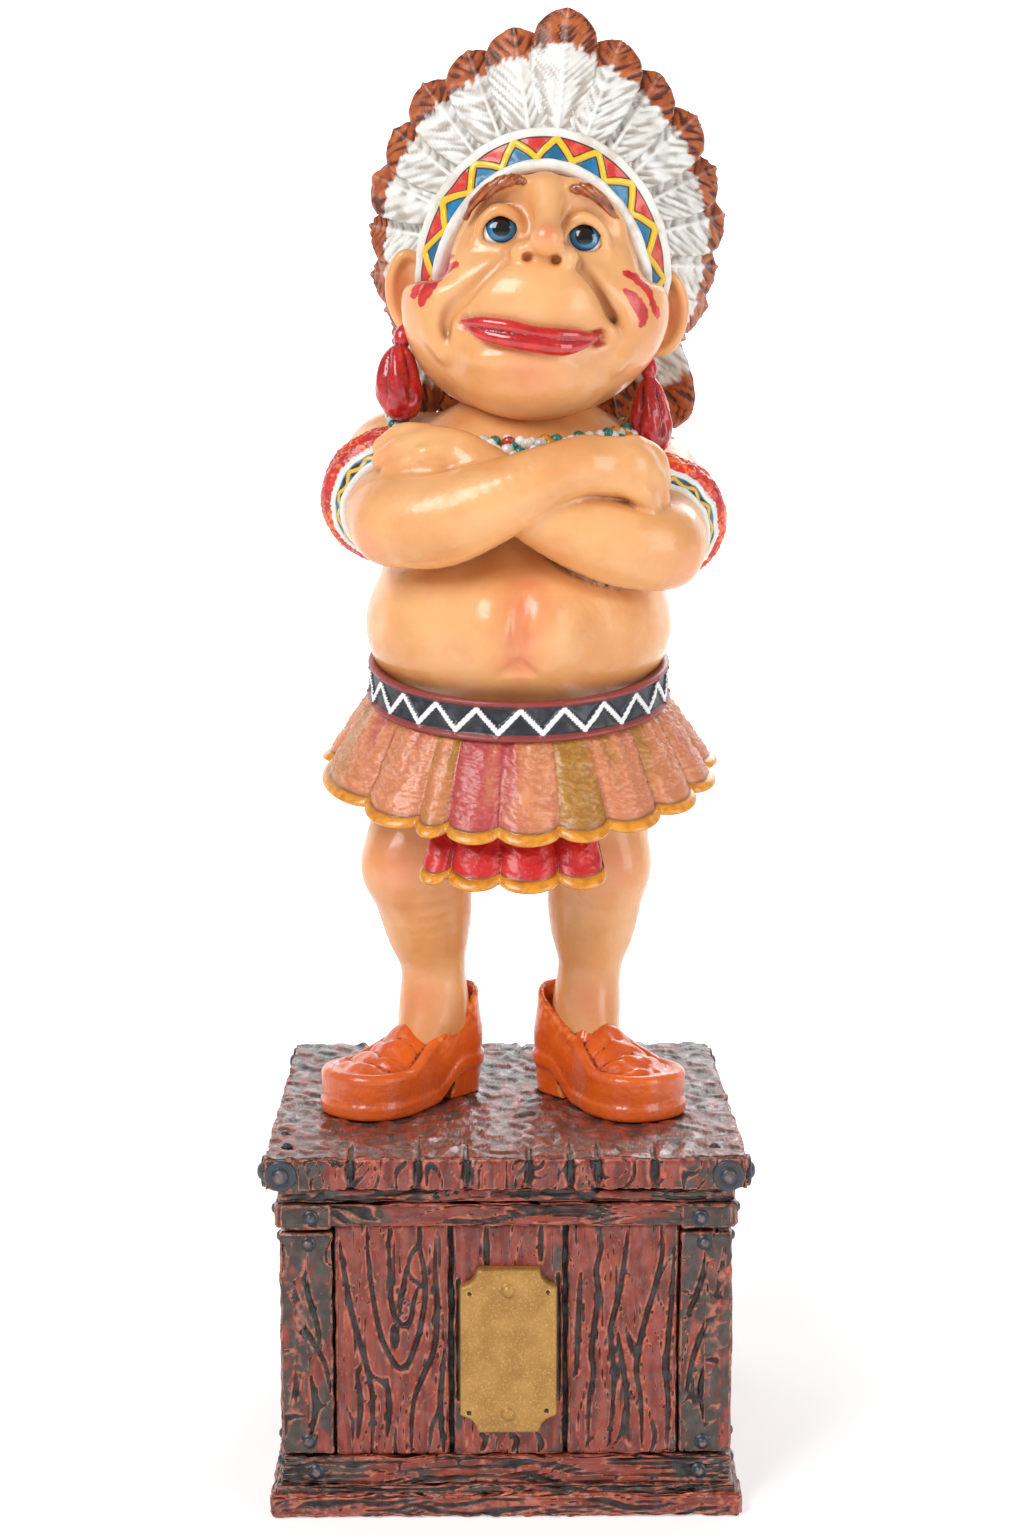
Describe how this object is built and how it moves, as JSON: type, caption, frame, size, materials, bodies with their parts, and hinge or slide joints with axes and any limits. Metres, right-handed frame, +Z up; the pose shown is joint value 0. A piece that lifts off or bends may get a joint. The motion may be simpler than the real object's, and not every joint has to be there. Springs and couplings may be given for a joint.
{
  "type": "native american figurine",
  "caption": "Painted cast-resin comic figure with folded arms, feather headdress and pleated skirt, standing on a wooden-crate plinth with a blank brass plate.",
  "frame": {"origin": "middle of the crate's underside, under the middle of the whole part's box", "axes": "+Z up through the figure, -Y the way the figure faces, +X to the figure's left"},
  "size_m": [0.0732, 0.0754, 0.2297],
  "materials": {
    "skin_paint": "glossy hand-painted resin",
    "wood_paint": "varnished resin painted as reddish timber",
    "brass_plate": "dull speckled brass"
  },
  "bodies": {
    "root": {"figure": "skin_paint", "crate_plinth": "wood_paint", "front_plate": "brass_plate"}
  },
  "joints": []
}
